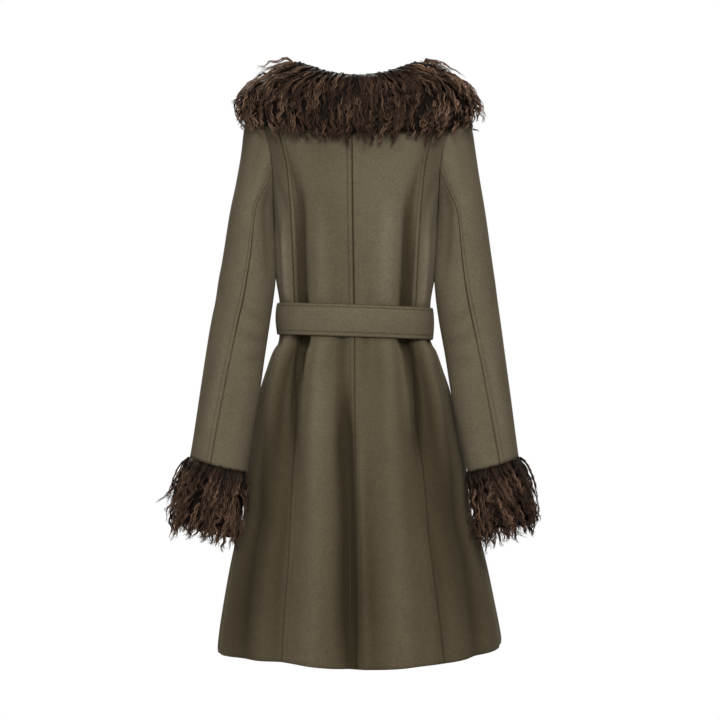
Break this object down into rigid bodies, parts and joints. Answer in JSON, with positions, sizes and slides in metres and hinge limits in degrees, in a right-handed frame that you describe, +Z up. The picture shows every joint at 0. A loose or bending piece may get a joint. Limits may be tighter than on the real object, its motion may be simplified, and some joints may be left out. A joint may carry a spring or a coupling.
{
  "type": "long coat",
  "caption": "Knee-length princess-seamed coat, filled out and hollow, with a tied belt and a shaggy fur collar and cuffs.",
  "frame": {"origin": "where the shoulders of the wearer carry the coat: on the centre line, level with the back of the neck", "axes": "+Z up, the front faces -Y and the back +Y, the wearer's left is +X"},
  "size_m": [0.6274, 0.3232, 1.0148],
  "materials": {
    "suede": "matt brushed suede cloth, olive brown, soft nap",
    "fur": "long curly shaggy fur, dark brown"
  },
  "bodies": {
    "root": {"back_centre_left": "suede", "back_centre_right": "suede", "back_side_left": "suede", "back_side_right": "suede", "front_left": "suede", "front_right": "suede", "sleeve_upper_left": "suede", "sleeve_upper_right": "suede", "sleeve_under_left": "suede", "sleeve_under_right": "suede", "belt_tail_left": "suede", "belt_tail_right": "suede", "belt": "suede", "belt_knot": "suede", "fur_collar": "fur", "fur_cuff_left": "fur", "fur_cuff_right": "fur"}
  },
  "joints": []
}
